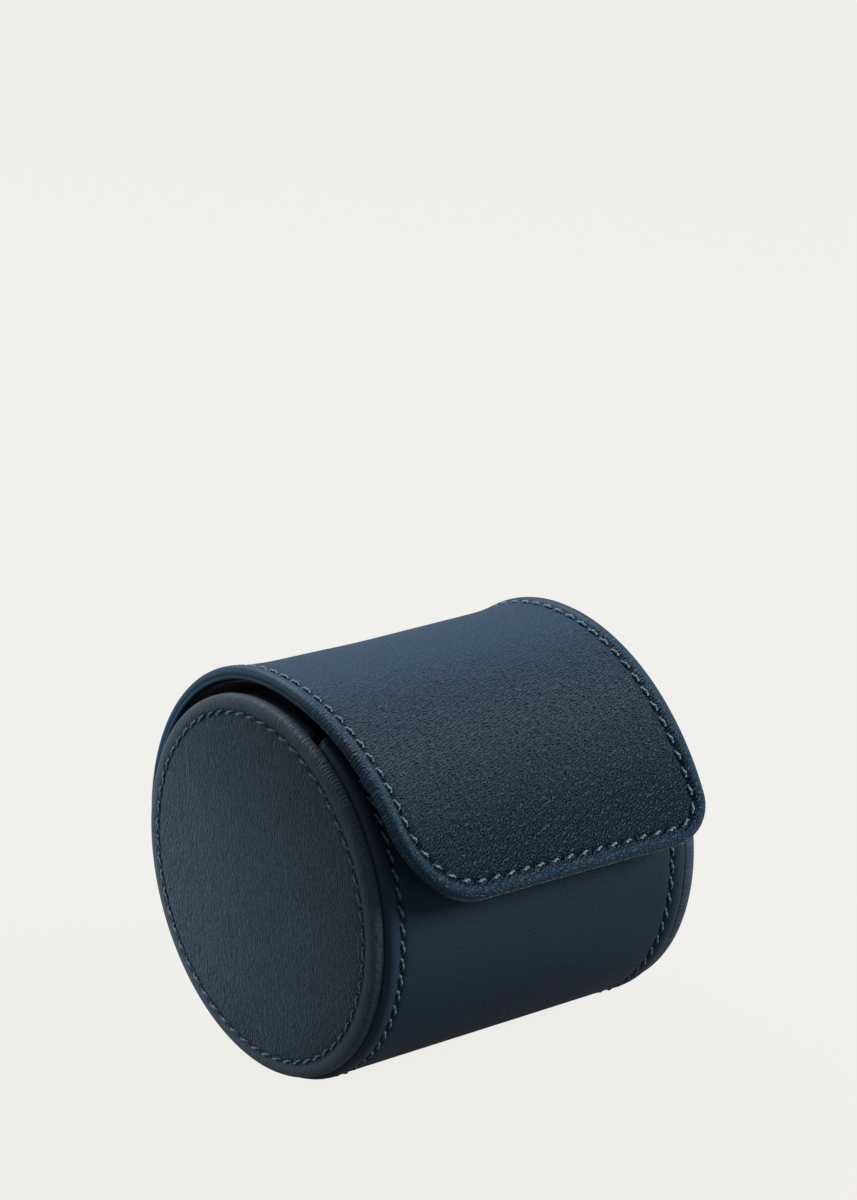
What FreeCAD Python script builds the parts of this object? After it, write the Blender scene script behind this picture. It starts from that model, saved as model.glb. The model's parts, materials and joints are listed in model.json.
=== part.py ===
"""Single watch roll: a leather barrel with round ends, a hinged flap and a watch cushion inside."""
import FreeCAD, Part
import math
import os

from FreeCAD import Vector

# Driving dimensions in millimetres and degrees.
# The roll's axis runs along X, the front looks along -Y and the base lies on Z = 0.
# Angles go round the roll's axis, from 0 at the top through 90 at the front.

# Layers of every wall
LEATHER = 1.1               # outer leather, also where it is turned over an edge
BOARD = 1.4                 # stiffening board
LINING = 0.7                # suede lining
GLUE_LINE = 0.05            # film between two glued layers
LINING_SETBACK = 1.5        # from a turned edge to the lining's edge

# Barrel
BARREL_RADIUS = 43.8        # outer face of the leather
BARREL_LENGTH = 81.4        # between the two ends
BASE_WIDTH = 18.0           # flat that the roll stands on
FRONT_LIP_ANGLE = 24.5      # top edge of the front panel
BACK_LIP_RISE = 1.6         # top edge of the back, above the hinge's middle
LIP_ROUND = 0.9             # rounded outer edge of both lips

# Round ends
END_LIFT = 0.1              # from what the roll stands on to the rim
END_THICKNESS = 3.0
END_ROUND = 1.6             # rounded rim
END_ROUND_STEPS = 2         # bevels that make the rim's round
END_LINING_SETBACK = 0.6    # from the rim to the end lining's edge at the mouth

# Flap, with the tail that is sewn to the barrel's back
FLAP_OVERHANG = 0.1         # past the barrel at each side
FLAP_CLEARANCE = 0.4        # between the barrel and the flap's lining
FLAP_SPRING = 4.0           # drop of the front curve's centre, which makes the flap stand off
FLAP_TIP_ANGLE = 76.0       # lower edge of the flap, about the front curve's centre
FLAP_CORNER = 12.0          # radius of the two lower corners
FLAP_EDGE_BEVEL = 0.8       # bevelled outer edge
HINGE_ANGLE = -78.0         # middle of the hinge
HINGE_WIDTH = 8.0           # bare leather between the two boards
TAIL_LENGTH = 22.0          # from the hinge to the tail's lower edge

# Closure: disc magnets in the flap's board, steel keepers in the front panel's board
MAGNET_RADIUS = 4.0
MAGNET_SPACING = 40.0
MAGNET_SETBACK = 14.0       # from the flap's lower edge
MAGNET_CLEARANCE = 0.1      # round a disc in its hole

# Cushion
CUSHION_HEIGHT = 50.0
CUSHION_WIDENING = 8.0      # how much wider it is than high
CUSHION_CROWN = 6.0         # rise of its top over the round of its front and back
CUSHION_DRAW_IN = 5.0       # how far the sleeve draws in at its ends
CUSHION_TAPER = 16.0        # length of sleeve over which each end draws in
CUSHION_END_GAP = 3.0       # between its ends and the end linings
CUSHION_COVER = 1.0
CUSHION_CLEARANCE = 0.3     # between the cushion and the lining it lies on

# How far a cutting tool runs past what it cuts
OVERCUT = 2.0

# Places worked out from the driving dimensions
AXIS_HEIGHT = math.sqrt(BARREL_RADIUS ** 2 - (BASE_WIDTH / 2) ** 2)
END_RADIUS = AXIS_HEIGHT - END_LIFT
END_FACE = BARREL_LENGTH / 2 + GLUE_LINE
BARREL_BOARD_OUT = BARREL_RADIUS - LEATHER - GLUE_LINE
BARREL_BOARD_IN = BARREL_BOARD_OUT - BOARD
BARREL_LINING_OUT = BARREL_BOARD_IN - GLUE_LINE
BARREL_LINING_IN = BARREL_LINING_OUT - LINING
FLAP_LINING_IN = BARREL_RADIUS + FLAP_CLEARANCE
FLAP_LINING_OUT = FLAP_LINING_IN + LINING
FLAP_BOARD_IN = FLAP_LINING_OUT + GLUE_LINE
FLAP_BOARD_OUT = FLAP_BOARD_IN + BOARD
FLAP_OUT = FLAP_BOARD_OUT + GLUE_LINE + LEATHER
TAIL_IN = BARREL_RADIUS + GLUE_LINE
FRONT_CURVE_HEIGHT = AXIS_HEIGHT - FLAP_SPRING
FLAP_WIDTH = BARREL_LENGTH + 2 * FLAP_OVERHANG
CUSHION_LENGTH = BARREL_LENGTH - 2 * (LINING + CUSHION_END_GAP)
CUSHION_WIDTH = CUSHION_HEIGHT + CUSHION_WIDENING
CUSHION_MIDDLE = BARREL_RADIUS - BARREL_LINING_IN + CUSHION_CLEARANCE + CUSHION_HEIGHT / 2


def span_angle(length, radius):
    """Angle in degrees of an arc of this length."""
    return math.degrees(length / radius)


BACK_LIP_ANGLE = HINGE_ANGLE + span_angle(BACK_LIP_RISE, BARREL_RADIUS)
HINGE_HALF = span_angle(HINGE_WIDTH / 2, FLAP_OUT)
FLAP_START = HINGE_ANGLE + HINGE_HALF
TAIL_TOP = HINGE_ANGLE - HINGE_HALF
TAIL_BOTTOM = TAIL_TOP - span_angle(TAIL_LENGTH, FLAP_OUT)
MAGNET_ANGLE = FLAP_TIP_ANGLE - span_angle(MAGNET_SETBACK, FLAP_OUT + FLAP_SPRING)


def spot(radius, angle, height=AXIS_HEIGHT):
    """Point in the YZ plane at a radius and angle about a centre at this height."""
    turn = math.radians(angle)
    return Vector(0, -radius * math.sin(turn), height + radius * math.cos(turn))


def arc(radius, start, end, height=AXIS_HEIGHT):
    middle = (start + end) / 2
    ends = [spot(radius, angle, height) for angle in (start, middle, end)]
    return Part.Arc(*ends).toShape()


def line(start, end):
    return Part.LineSegment(start, end).toShape()


def along_roll(edges, length):
    """Solid of the section that these edges close, as long as given and centred on the roll."""
    face = Part.Face(Part.Wire(Part.__sortEdges__(edges)))
    solid = face.extrude(Vector(length, 0, 0))
    solid.translate(Vector(-length / 2, 0, 0))
    return solid


def base_half_angle(radius):
    """Half the angle that the flat base takes from a layer of the barrel at this radius."""
    flat_below_axis = AXIS_HEIGHT - (BARREL_RADIUS - radius)
    return math.degrees(math.acos(flat_below_axis / radius))


def barrel_arcs(radius, front, back):
    """Run of one barrel layer from the front lip under the flat base to the back lip."""
    flat = base_half_angle(radius)
    return [
        arc(radius, front, 180 - flat),
        line(spot(radius, 180 - flat), spot(radius, 180 + flat)),
        arc(radius, 180 + flat, 360 + back),
    ]


def barrel_wall(inner, outer, setback, length):
    """Open barrel wall between two radii, its lips set back along the curve."""
    back_off = span_angle(setback, BARREL_RADIUS)
    front = FRONT_LIP_ANGLE + back_off
    back = BACK_LIP_ANGLE - back_off
    edges = barrel_arcs(outer, front, back) + barrel_arcs(inner, front, back)
    edges.append(line(spot(inner, front), spot(outer, front)))
    edges.append(line(spot(inner, back), spot(outer, back)))
    return along_roll(edges, length)


def ring_wall(inner, outer, start, end, width):
    """Curved wall about the roll's axis."""
    edges = [
        arc(outer, start, end),
        line(spot(outer, end), spot(inner, end)),
        arc(inner, start, end),
        line(spot(inner, start), spot(outer, start)),
    ]
    return along_roll(edges, width)


def lying_edges(solid, places):
    """Edges along the roll that pass through these points of the YZ plane."""
    found = []
    for edge in solid.Edges:
        ends = [vertex.Point for vertex in edge.Vertexes]
        if len(ends) < 2:
            continue
        for place in places:
            if all(math.hypot(end.y - place.y, end.z - place.z) < 1e-6 for end in ends):
                found.append(edge)
    return found


def body_leather():
    wall = barrel_wall(BARREL_BOARD_IN, BARREL_RADIUS, 0, BARREL_LENGTH)
    lips = [spot(BARREL_RADIUS, FRONT_LIP_ANGLE), spot(BARREL_RADIUS, BACK_LIP_ANGLE)]
    wall = wall.makeFillet(LIP_ROUND, lying_edges(wall, lips))
    pocket = barrel_wall(
        BARREL_BOARD_IN - OVERCUT, BARREL_RADIUS - LEATHER, LEATHER, BARREL_LENGTH - 2 * LEATHER)
    return wall.cut(pocket)


def body_board():
    edge = LEATHER + GLUE_LINE
    board = barrel_wall(BARREL_BOARD_IN, BARREL_BOARD_OUT, edge, BARREL_LENGTH - 2 * edge)
    return board.cut(keeper_discs(MAGNET_CLEARANCE, OVERCUT))


def body_lining():
    return barrel_wall(BARREL_LINING_IN, BARREL_LINING_OUT, LINING_SETBACK, BARREL_LENGTH)


def round_plate(side, radius, thickness, inner_face):
    """Disc on the roll's axis, from its inner face outwards on one side (-1 left, 1 right)."""
    return Part.makeCylinder(
        radius, thickness, Vector(side * inner_face, 0, AXIS_HEIGHT), Vector(side, 0, 0))


def rim_profile(side):
    """Half section of an end's outside, from the axis over the rounded rim to the inner face."""
    outer_face = END_FACE + END_THICKNESS
    points = [(END_FACE, 0), (outer_face, 0)]
    for step in range(END_ROUND_STEPS + 1):
        turn = math.radians(90 * step / END_ROUND_STEPS)
        points.append((
            outer_face - END_ROUND * (1 - math.cos(turn)),
            END_RADIUS - END_ROUND * (1 - math.sin(turn))))
    points.append((END_FACE, END_RADIUS))
    points.append(points[0])
    return [Vector(side * x, 0, AXIS_HEIGHT + radius) for x, radius in points]


def end_leather(side):
    section = Part.Face(Part.makePolygon(rim_profile(side)))
    cover = section.revolve(Vector(0, 0, AXIS_HEIGHT), Vector(1, 0, 0), 360)
    pocket = round_plate(
        side, END_RADIUS - LEATHER, END_THICKNESS - LEATHER + OVERCUT, END_FACE - OVERCUT)
    return cover.cut(pocket)


def end_board(side):
    edge = LEATHER + GLUE_LINE
    return round_plate(side, END_RADIUS - edge, END_THICKNESS - edge, END_FACE)


def end_lining(side):
    """Lining disc in the barrel's bore, which widens to the rim at the open mouth."""
    disc = round_plate(
        side, END_RADIUS - END_LINING_SETBACK, LINING, BARREL_LENGTH / 2 - LINING)
    wall = barrel_wall(
        BARREL_LINING_IN - GLUE_LINE, BARREL_RADIUS + OVERCUT, -GLUE_LINE, BARREL_LENGTH + OVERCUT)
    return disc.cut(wall)


def flap_arcs(radius, start, tip):
    """Run of one flap layer: round the roll's axis to the top, then on the wider front curve."""
    return [
        arc(radius, start, 0),
        arc(radius + FLAP_SPRING, 0, tip, FRONT_CURVE_HEIGHT),
    ]


def corner_tool(side, half_width, foot, radius):
    """What lies outside one rounded lower corner of the flap, seen from the front."""
    depth = FLAP_OUT + FLAP_SPRING + OVERCUT
    centre_x = half_width - radius
    start_x = centre_x if side > 0 else -half_width - OVERCUT
    block = Part.makeBox(
        radius + OVERCUT, depth, radius + OVERCUT, Vector(start_x, -depth, foot - OVERCUT))
    rod = Part.makeCylinder(
        radius, depth, Vector(side * centre_x, -depth, foot + radius), Vector(0, 1, 0))
    return block.cut(rod)


def flap_wall(inner, outer, setback):
    """Flap between two radii, its free edges set back from the leather's edge."""
    tip = FLAP_TIP_ANGLE - span_angle(setback, FLAP_OUT + FLAP_SPRING)
    edges = flap_arcs(outer, FLAP_START, tip) + flap_arcs(inner, FLAP_START, tip)
    edges.append(line(spot(inner, FLAP_START), spot(outer, FLAP_START)))
    inner_tip = spot(inner + FLAP_SPRING, tip, FRONT_CURVE_HEIGHT)
    edges.append(line(inner_tip, spot(outer + FLAP_SPRING, tip, FRONT_CURVE_HEIGHT)))
    half_width = FLAP_WIDTH / 2 - setback
    wall = along_roll(edges, 2 * half_width)
    for side in (-1, 1):
        wall = wall.cut(corner_tool(side, half_width, inner_tip.z, FLAP_CORNER - setback))
    return wall


def flap_leather():
    wall = flap_wall(FLAP_BOARD_IN, FLAP_OUT, 0)
    wall = wall.makeChamfer(FLAP_EDGE_BEVEL, flap_outer_edges(wall))
    pocket = flap_wall(FLAP_BOARD_IN - OVERCUT, FLAP_OUT - LEATHER, LEATHER)
    return wall.cut(pocket)


def flap_outer_edges(wall):
    """Free edges of the flap's outer face: both sides, both corners and the lower edge."""
    found = []
    for edge in wall.Edges:
        middle = edge.valueAt((edge.FirstParameter + edge.LastParameter) / 2)
        back_radius = math.hypot(middle.y, middle.z - AXIS_HEIGHT)
        front_radius = math.hypot(middle.y, middle.z - FRONT_CURVE_HEIGHT) - FLAP_SPRING
        on_outer_face = abs((front_radius if middle.y < 0 else back_radius) - FLAP_OUT) < 1e-4
        crosses_roll = abs(middle.x) < 1e-6
        at_tip = middle.y < 0 and middle.z < AXIS_HEIGHT + FLAP_CORNER + FLAP_SPRING
        if on_outer_face and (not crosses_roll or at_tip):
            found.append(edge)
    return found


def flap_board():
    board = flap_wall(FLAP_BOARD_IN, FLAP_BOARD_OUT, LEATHER + GLUE_LINE)
    return board.cut(magnet_discs(MAGNET_CLEARANCE, OVERCUT))


def flap_lining():
    return flap_wall(FLAP_LINING_IN, FLAP_LINING_OUT, LINING_SETBACK)


def tail_leather():
    wall = ring_wall(TAIL_IN, FLAP_OUT, TAIL_BOTTOM, TAIL_TOP, FLAP_WIDTH)
    wall = wall.makeChamfer(
        FLAP_EDGE_BEVEL, lying_edges(wall, [spot(FLAP_OUT, TAIL_BOTTOM)]))
    edge = span_angle(LEATHER, FLAP_OUT)
    pocket = ring_wall(
        TAIL_IN - OVERCUT, FLAP_OUT - LEATHER, TAIL_BOTTOM + edge, TAIL_TOP + edge,
        FLAP_WIDTH - 2 * LEATHER)
    return wall.cut(pocket)


def tail_board():
    edge = LEATHER + GLUE_LINE
    return ring_wall(
        TAIL_IN, FLAP_OUT - edge, TAIL_BOTTOM + span_angle(edge, FLAP_OUT), TAIL_TOP,
        FLAP_WIDTH - 2 * edge)


def hinge_strip(inner, outer, width):
    gap = span_angle(GLUE_LINE, FLAP_OUT)
    return ring_wall(inner, outer, TAIL_TOP + gap, FLAP_START - gap, width)


def hinge_leather():
    return hinge_strip(FLAP_OUT - LEATHER, FLAP_OUT, FLAP_WIDTH)


def hinge_lining():
    outer = FLAP_OUT - LEATHER - GLUE_LINE
    return hinge_strip(outer - LINING, outer, FLAP_WIDTH - 2 * LINING_SETBACK)


def disc_pair(centre_height, seat, angle, grow, overrun):
    """Two discs square to a curved board, or the two holes that they lie in."""
    outwards = spot(1, angle, 0)
    sagitta = MAGNET_RADIUS ** 2 / (2 * seat)
    thickness = BOARD - 2 * GLUE_LINE - sagitta
    discs = []
    for side in (-1, 1):
        foot = spot(seat + GLUE_LINE - overrun, angle, centre_height)
        foot.x = side * MAGNET_SPACING / 2
        discs.append(
            Part.makeCylinder(MAGNET_RADIUS + grow, thickness + 2 * overrun, foot, outwards))
    return Part.makeCompound(discs)


def magnet_discs(grow=0.0, overrun=0.0):
    return disc_pair(
        FRONT_CURVE_HEIGHT, FLAP_BOARD_IN + FLAP_SPRING, MAGNET_ANGLE, grow, overrun)


def keeper_discs(grow=0.0, overrun=0.0):
    """Discs in the front panel straight behind the flap's magnets."""
    magnet = spot(FLAP_BOARD_IN + FLAP_SPRING, MAGNET_ANGLE, FRONT_CURVE_HEIGHT)
    angle = math.degrees(math.atan2(-magnet.y, magnet.z - AXIS_HEIGHT))
    return disc_pair(AXIS_HEIGHT, BARREL_BOARD_IN, angle, grow, overrun)


def cushion_section(x, inset):
    """Oval of four arcs across the cushion, inset from its fullest outline."""
    side = CUSHION_HEIGHT / 2 - CUSHION_CROWN
    side_centre = CUSHION_WIDTH / 2 - side
    crown_centre = (side_centre ** 2 - CUSHION_CROWN ** 2) / (2 * CUSHION_CROWN)
    lean = math.atan2(side_centre, crown_centre)

    def place(y, z):
        return Vector(x, y, CUSHION_MIDDLE + z)

    def round_end(sign, turn):
        reach = side - inset
        return place(
            sign * (side_centre + reach * math.sin(turn)), reach * math.cos(turn))

    def crown(sign):
        return place(0, sign * (CUSHION_HEIGHT / 2 - inset))

    corners = [
        round_end(1, lean), round_end(1, math.pi - lean),
        round_end(-1, math.pi - lean), round_end(-1, lean)]
    edges = [
        Part.Arc(corners[0], round_end(1, math.pi / 2), corners[1]).toShape(),
        Part.Arc(corners[1], crown(-1), corners[2]).toShape(),
        Part.Arc(corners[2], round_end(-1, math.pi / 2), corners[3]).toShape(),
        Part.Arc(corners[3], crown(1), corners[0]).toShape(),
    ]
    return Part.Wire(edges)


def cushion_form(inset):
    """Crowned pillow, fullest in the middle and drawn in towards both ends."""
    half = CUSHION_LENGTH / 2
    full = half - CUSHION_TAPER
    sections = [
        cushion_section(-half, inset + CUSHION_DRAW_IN),
        cushion_section(-full, inset),
        cushion_section(full, inset),
        cushion_section(half, inset + CUSHION_DRAW_IN),
    ]
    return Part.makeLoft(sections, True, True)


def cushion_cover():
    return cushion_form(0).cut(cushion_form(CUSHION_COVER))


def cushion_slice(start, end):
    """Stretch of what fills the sleeve, between two places along the roll."""
    size = 2 * max(CUSHION_WIDTH, CUSHION_HEIGHT)
    block = Part.makeBox(
        end - start, size, size, Vector(start, -size / 2, CUSHION_MIDDLE - size / 2))
    return cushion_form(CUSHION_COVER + GLUE_LINE).common(block)


def cushion_end(side):
    outer = side * CUSHION_LENGTH / 2
    inner = outer - side * CUSHION_COVER
    return cushion_slice(min(outer, inner), max(outer, inner))


def cushion_foam():
    reach = CUSHION_LENGTH / 2 - CUSHION_COVER - GLUE_LINE
    return cushion_slice(-reach, reach)


NODES = {
    "body_leather": body_leather(),
    "body_board": body_board(),
    "body_lining": body_lining(),
    "left_end_leather": end_leather(-1),
    "left_end_board": end_board(-1),
    "left_end_lining": end_lining(-1),
    "right_end_leather": end_leather(1),
    "right_end_board": end_board(1),
    "right_end_lining": end_lining(1),
    "front_keepers": keeper_discs(),
    "tail_leather": tail_leather(),
    "tail_board": tail_board(),
    "hinge_leather": hinge_leather(),
    "hinge_lining": hinge_lining(),
    "flap_leather": flap_leather(),
    "flap_board": flap_board(),
    "flap_lining": flap_lining(),
    "flap_magnets": magnet_discs(),
    "cushion_cover": cushion_cover(),
    "cushion_left_end": cushion_end(-1),
    "cushion_right_end": cushion_end(1),
    "cushion_foam": cushion_foam(),
}

os.makedirs("parts", exist_ok=True)
for name, shape in NODES.items():
    solids = shape.Solids
    shape = solids[0] if len(solids) == 1 else Part.makeCompound(solids)
    shape.exportStep("parts/" + name + ".step")
    print(name, len(solids), round(shape.Volume, 1), shape.isValid())
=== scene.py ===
"""Single watch roll in navy leather: its sewn covers, thread, suede linings and watch cushion."""
import json
import math

import bmesh
import bpy
import numpy as np
from mathutils import Matrix, Vector
from mathutils.geometry import delaunay_2d_cdt

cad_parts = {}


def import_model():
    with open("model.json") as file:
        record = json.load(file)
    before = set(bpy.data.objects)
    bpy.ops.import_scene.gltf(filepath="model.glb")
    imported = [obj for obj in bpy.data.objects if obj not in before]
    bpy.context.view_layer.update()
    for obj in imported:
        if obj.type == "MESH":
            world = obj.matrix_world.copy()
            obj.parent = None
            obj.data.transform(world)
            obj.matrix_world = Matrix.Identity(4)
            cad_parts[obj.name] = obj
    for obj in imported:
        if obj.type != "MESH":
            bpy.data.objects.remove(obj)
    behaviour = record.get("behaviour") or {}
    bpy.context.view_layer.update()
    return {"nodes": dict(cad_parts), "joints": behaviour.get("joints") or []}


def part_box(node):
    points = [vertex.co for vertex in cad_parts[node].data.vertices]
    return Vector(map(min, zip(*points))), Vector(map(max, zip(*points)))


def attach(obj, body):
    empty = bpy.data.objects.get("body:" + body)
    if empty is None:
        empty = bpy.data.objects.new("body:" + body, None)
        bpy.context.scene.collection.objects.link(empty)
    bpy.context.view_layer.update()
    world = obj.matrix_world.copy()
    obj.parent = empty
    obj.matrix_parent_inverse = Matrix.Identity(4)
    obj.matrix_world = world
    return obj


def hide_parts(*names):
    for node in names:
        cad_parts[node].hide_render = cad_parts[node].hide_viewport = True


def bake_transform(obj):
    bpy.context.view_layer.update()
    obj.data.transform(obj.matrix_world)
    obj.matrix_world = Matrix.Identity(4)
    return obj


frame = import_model()

MM = 0.001
TINY = 1e-9
SIDES = {"left": -1, "right": 1}

# Places of the roll's pieces, from the frame
END_LOW, END_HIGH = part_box("left_end_leather")
AXIS_HEIGHT = (END_LOW.z + END_HIGH.z) / 2
END_RADIUS = (END_HIGH.z - END_LOW.z) / 2
END_OUTER = -END_LOW.x
BARREL_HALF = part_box("body_leather")[1].x
BARREL_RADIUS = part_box("body_leather")[1].y
FLAP_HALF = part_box("flap_leather")[1].x
FLAP_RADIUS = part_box("tail_leather")[1].y
CUSHION_LOW, CUSHION_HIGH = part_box("cushion_cover")
FLAP_HINGE = next(joint for joint in frame["joints"] if joint["name"] == "flap_hinge")
HINGE_LINE = Vector(FLAP_HINGE["pos_m"])

# Angles in degrees round the roll's axis, from 0 at the top through 90 at the front
FRONT_LIP = 24.5
BACK_LIP = -75.9
LIP_SPREAD = 2.0            # over which the mouth's rim runs out at a lip
HINGE = math.degrees(math.atan2(-HINGE_LINE.y, HINGE_LINE.z - AXIS_HEIGHT))
TAIL_BOTTOM = -109.4
FLAP_TIP = 76.0             # about the front curve's own centre
SKYLINE = -24.0             # where the flap's face passes out of sight at the top

# How the leather and its boards are cut and sewn, in metres
FLAP_SPRING = 4.0 * MM      # drop of the front curve's centre
FLAP_CORNER_LEFT = 19.5 * MM
FLAP_CORNER_RIGHT = 9.5 * MM
TAIL_CORNER = 7.0 * MM
BARREL_CORNER = 2.8 * MM
LINING_CORNER = 2.5 * MM
BOARD_CORNER = 2.0 * MM
BARREL_BOARD_CORNER = 1.8 * MM
TIGHTEST_TURN = 1.2 * MM    # least corner radius of any row
LEATHER = 1.1 * MM
FLAP_THICK = 2.6 * MM       # leather and board, without the lining
TAIL_THICK = 3.6 * MM
HINGE_THICK = LEATHER + 0.1 * MM
BARREL_THICK = 2.5 * MM
END_THICK = 3.0 * MM
RIGHT_END_PROUD = 0.6 * MM  # the right end stands out a little further
LINING_SETBACK = 1.5 * MM
BARREL_LINING_SETBACK = 0.9 * MM
HINGE_LINING_SETBACK = 0.6 * MM
GLUE = 0.05 * MM            # between a lining or board and what it is glued to
HINGE_HALF = 4.0 * MM
BOARD_CLEAR = 1.6 * MM      # from the hinge's bare strip to a board
STITCH_PITCH = 4.05 * MM
POINTS_PER_STITCH = 6
FLAP_MARGIN = 3.7 * MM      # from an edge to its stitch row
BARREL_MARGIN = 4.0 * MM
END_MARGIN = 3.8 * MM
LINING_MARGIN = 1.0 * MM    # row along which an unsewn edge's points are even
BOARD_MARGIN = 0.6 * MM
FLAP_PINCH = 0.14 * MM      # what a stitch pulls the leather down by
SIDE_PINCH = 0.1 * MM
MAGNET_RADIUS = 4.0 * MM
MAGNET_SETBACK = 14.0 * MM
MAGNET_OFFSET = 20.0 * MM

# Spacing of the points on each kind of plate
LEATHER_STEP = 2.2 * MM
END_STEP = 2.4 * MM
LINING_STEP = 2.6 * MM
BOARD_STEP = 4.0 * MM
MAGNET_STEP = 1.5 * MM
HINGE_STEP = 0.7 * MM
LONG_ARC_POINTS = 160
SHORT_ARC_POINTS = 120
BASE_POINTS = 24
MOUTH_POINTS = 240


# Runs: lines round the roll that sheets of leather follow

def smooth(value, low, high):
    """Share from 0 to 1 between two limits, with soft ends."""
    share = np.clip((value - low) / (high - low), 0, 1)
    return share * share * (3 - 2 * share)


def bump(value, middle, spread):
    return np.exp(-((value - middle) / spread) ** 2)


def signed_power(value, power):
    return np.sign(value) * np.abs(value) ** power


def full_turn(count):
    """Even angles all the way round, in radians."""
    return np.linspace(0, 2 * math.pi, count, endpoint=False)


def spot(radius, angle, height=AXIS_HEIGHT):
    """Points (y, z) at a radius and angle about a centre at this height."""
    turn = np.radians(angle)
    return np.stack([-radius * np.sin(turn), height + radius * np.cos(turn)], axis=-1)


class Run:
    """Line in the YZ plane, walked with growing angle, that a sheet is laid along."""

    def __init__(self, points):
        self.points = points
        steps = np.linalg.norm(np.diff(points, axis=0), axis=1)
        self.reach = np.concatenate([[0.0], np.cumsum(steps)])
        self.length = self.reach[-1]
        along = np.gradient(points, self.reach, axis=0)
        along /= np.linalg.norm(along, axis=1, keepdims=True)
        self.outwards = np.stack([along[:, 1], -along[:, 0]], axis=1)

    def place(self, x, along, height):
        """Points in the roll's frame at x, a distance along the line and a height over it. Past its
        ends the line goes straight on."""
        spots = [np.interp(along, self.reach, self.points[:, k]) for k in (0, 1)]
        lean = [np.interp(along, self.reach, self.outwards[:, k]) for k in (0, 1)]
        past = along - np.clip(along, 0, self.length)
        across = spots[0] + lean[0] * height - lean[1] * past
        up = spots[1] + lean[1] * height + lean[0] * past
        return np.stack([x, across, up], axis=1)

    def at_angle(self, angle):
        """Distance along the line of the point at this angle about the roll's axis."""
        turn = np.degrees(np.unwrap(
            np.arctan2(-self.points[:, 0], self.points[:, 1] - AXIS_HEIGHT)))
        return float(np.interp(angle, turn, self.reach))


def barrel_run():
    """Barrel's outer face, from the front lip under the flat base to the back lip."""
    half = math.degrees(math.acos(AXIS_HEIGHT / BARREL_RADIUS))
    front_arc = spot(BARREL_RADIUS, np.linspace(FRONT_LIP, 180 - half, LONG_ARC_POINTS))
    base = np.linspace(front_arc[-1], spot(BARREL_RADIUS, 180 + half), BASE_POINTS)[1:-1]
    back_arc = spot(BARREL_RADIUS, np.linspace(180 + half, 360 + BACK_LIP, SHORT_ARC_POINTS))
    return Run(np.concatenate([front_arc, base, back_arc]))


def flap_run():
    """Flap's outer face, from the tail's lower edge over the top to the flap's tip."""
    back = np.linspace(TAIL_BOTTOM, 0, LONG_ARC_POINTS)
    front = np.linspace(0, FLAP_TIP, SHORT_ARC_POINTS)[1:]
    return Run(np.concatenate([
        spot(FLAP_RADIUS, back),
        spot(FLAP_RADIUS + FLAP_SPRING, front, AXIS_HEIGHT - FLAP_SPRING)]))


# Outlines: closed lines round a flat plate, sampled evenly along its stitch row

def rounded_outline(half_width, start, end, corners, margin):
    """Function of an inset that gives the outline of a plate with rounded corners.
    corners are the radii at the right start, right end, left end and left start."""
    def legs(inset):
        half, low, high = half_width - inset, start + inset, end - inset
        right_start, right_end, left_end, left_start = [
            max(radius - inset, TIGHTEST_TURN) for radius in corners]
        return [
            ("line", (0, low), (half - right_start, low)),
            ("turn", (half - right_start, low + right_start), (right_start, -90)),
            ("line", (half, low + right_start), (half, high - right_end)),
            ("turn", (half - right_end, high - right_end), (right_end, 0)),
            ("line", (half - right_end, high), (left_end - half, high)),
            ("turn", (left_end - half, high - left_end), (left_end, 90)),
            ("line", (-half, high - left_end), (-half, low + left_start)),
            ("turn", (left_start - half, low + left_start), (left_start, 180)),
            ("line", (left_start - half, low), (0, low))]

    lengths = [
        math.dist(first, second) if kind == "line" else second[0] * math.pi / 2
        for kind, first, second in legs(margin)]
    marks = np.cumsum([0.0] + lengths)
    count = round(marks[-1] / STITCH_PITCH) * POINTS_PER_STITCH
    walked = marks[-1] * np.arange(count) / count
    numbers = np.minimum(np.searchsorted(marks, walked, side="right") - 1, len(lengths) - 1)
    shares = (walked - marks[numbers]) / np.array(lengths)[numbers]

    def ring(inset):
        sides = legs(inset)
        spots = np.zeros((count, 2))
        for k, (number, share) in enumerate(zip(numbers, shares)):
            kind, first, second = sides[number]
            if kind == "line":
                spots[k] = np.array(first) * (1 - share) + np.array(second) * share
            else:
                turn = math.radians(second[1] + 90 * share)
                spots[k] = first[0] + second[0] * math.cos(turn), first[1] + second[0] * math.sin(turn)
        return spots

    return ring


def round_outline(radius, margin):
    stitches = round(2 * math.pi * (radius - margin) / STITCH_PITCH)
    turn = full_turn(stitches * POINTS_PER_STITCH)

    def ring(inset):
        return (radius - inset) * np.stack([np.cos(turn), np.sin(turn)], axis=1)

    return ring


def mouth_outline(bore, mouth, base):
    """Round outline that widens from the barrel's bore to the rim at the open mouth, flat at the base."""
    angle = np.linspace(-180, 180, MOUTH_POINTS, endpoint=False)
    past_back = smooth(angle, BACK_LIP - LIP_SPREAD, BACK_LIP + LIP_SPREAD)
    past_front = smooth(angle, FRONT_LIP - LIP_SPREAD, FRONT_LIP + LIP_SPREAD)
    open_share = past_back * (1 - past_front)
    radius = bore + (mouth - bore) * open_share

    def ring(inset):
        turn = np.radians(angle)
        spots = np.stack([-np.sin(turn), np.cos(turn)], axis=1) * (radius - inset)[:, None]
        spots[:, 1] = np.maximum(spots[:, 1], base + inset)
        return spots[::-1]

    return ring


# Plates: closed meshes with a turned edge, a bead, a sewn groove and a filled face

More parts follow.
